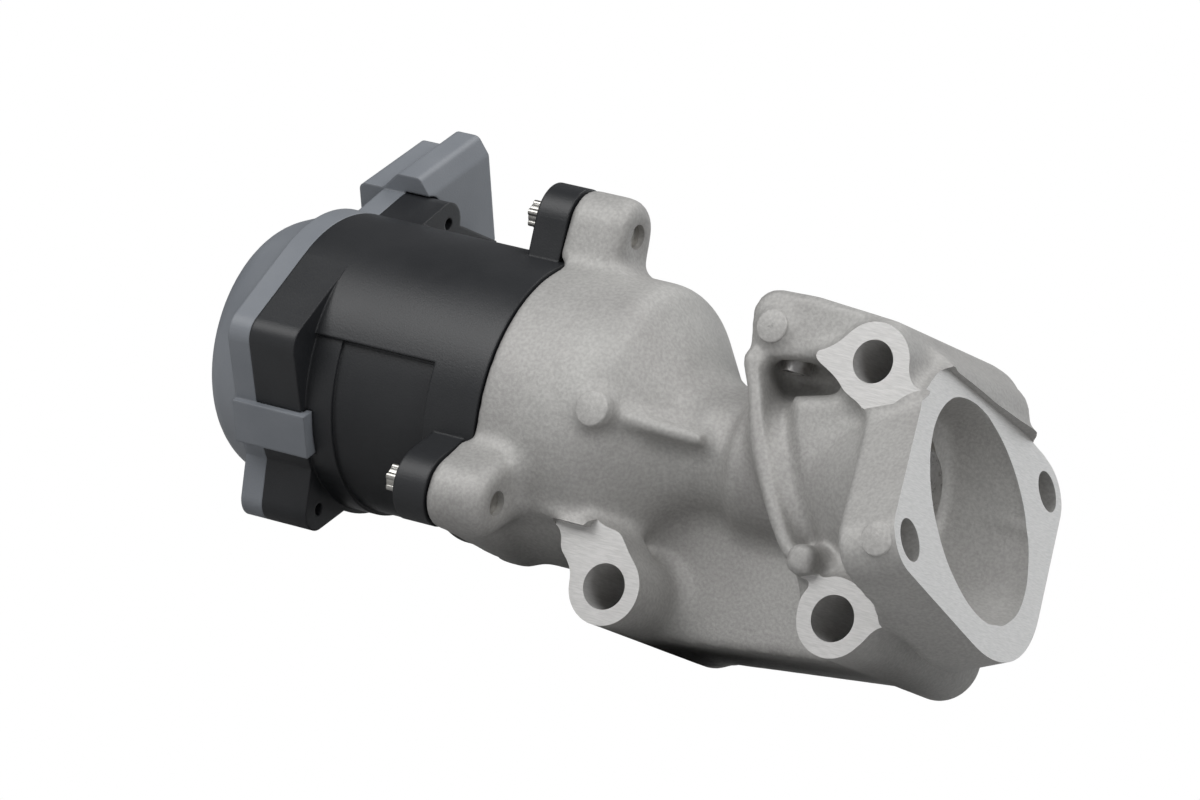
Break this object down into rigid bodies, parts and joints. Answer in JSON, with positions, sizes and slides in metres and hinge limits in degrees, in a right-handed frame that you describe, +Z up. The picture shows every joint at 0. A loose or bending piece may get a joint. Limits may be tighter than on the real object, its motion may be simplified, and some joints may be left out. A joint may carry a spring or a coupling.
{
  "type": "exhaust gas recirculation valve",
  "caption": "Exhaust gas recirculation valve: cast housing with side inlet, tilted outlet flange and poppet valve, driven by a coaxial motor under a moulded end cover.",
  "frame": {"origin": "centre of the inlet port on the mounting face", "axes": "+X along the motor and valve axis towards the outlet flange, +Y out of the mounting face, +Z up"},
  "size_m": [0.1741, 0.0815, 0.092],
  "materials": {
    "cast_aluminium": "as cast, with machined faces and bores",
    "black_plastic": "moulded, glass filled",
    "cover_plastic": "moulded, semi-matt",
    "screw_steel": "zinc plated",
    "valve_steel": "ground",
    "seat_steel": "sintered and ground",
    "bearing_steel": "ground and polished",
    "spring_steel": "oil hardened",
    "core_steel": "stacked laminations",
    "copper_wire": "enamelled",
    "magnet": "pressed and coated",
    "rotor_plastic": "moulded, natural",
    "guide_plastic": "moulded, heat resistant",
    "bronze": "machined",
    "board": "lacquered laminate",
    "chip": "moulded",
    "pin_brass": "tin plated",
    "seal_rubber": "smooth",
    "stem_rubber": "smooth",
    "plug_aluminium": "turned"
  },
  "bodies": {
    "housing": {"valve_housing": "cast_aluminium", "motor_housing": "black_plastic", "end_cover": "cover_plastic", "ear_screws": "screw_steel", "cover_screws": "screw_steel", "ear_sleeves": "screw_steel", "deposit_shield": "valve_steel", "seat_ring": "seat_steel", "front_bearing_outer": "bearing_steel", "rear_bearing_outer": "bearing_steel", "wave_washer": "spring_steel", "spring_seat": "spring_steel", "stator_core": "core_steel", "stator_coils": "copper_wire", "terminal_ring": "rotor_plastic", "screw_guide": "guide_plastic", "stem_guide": "bronze", "circuit_board": "board", "hall_sensors": "chip", "connector_pins": "pin_brass", "cover_seal": "seal_rubber", "housing_seal": "seal_rubber", "stem_seal": "stem_rubber", "gallery_plug": "plug_aluminium"},
    "rotor": {"rotor_sleeve": "rotor_plastic", "drive_nut": "bronze", "rotor_magnet": "magnet", "sensor_magnet": "magnet", "front_bearing_inner": "bearing_steel", "front_bearing_balls": "bearing_steel", "rear_bearing_inner": "bearing_steel", "rear_bearing_balls": "bearing_steel"},
    "valve_train": {"lead_screw": "valve_steel", "poppet_valve": "valve_steel", "spring_retainer": "spring_steel", "retainer_clip": "spring_steel", "return_spring": "spring_steel"}
  },
  "joints": [
    {"name": "rotor_spin", "type": "hinge", "parent": "housing", "child": "rotor", "pos_m": [-0.0915, -0.029, 0], "axis": [1, 0, 0], "range_deg": [0, 260.5]},
    {"name": "valve_lift", "type": "slide", "parent": "housing", "child": "valve_train", "axis": [1, 0, 0], "range_m": [0, 0.0065], "stiffness_N_per_m": 2000, "springref_m": -0.003, "deforming": ["return_spring"]}
  ],
  "couplings": [
    {"joint": "rotor_spin", "follows": "valve_lift", "rad_per_m": 698.13}
  ]
}
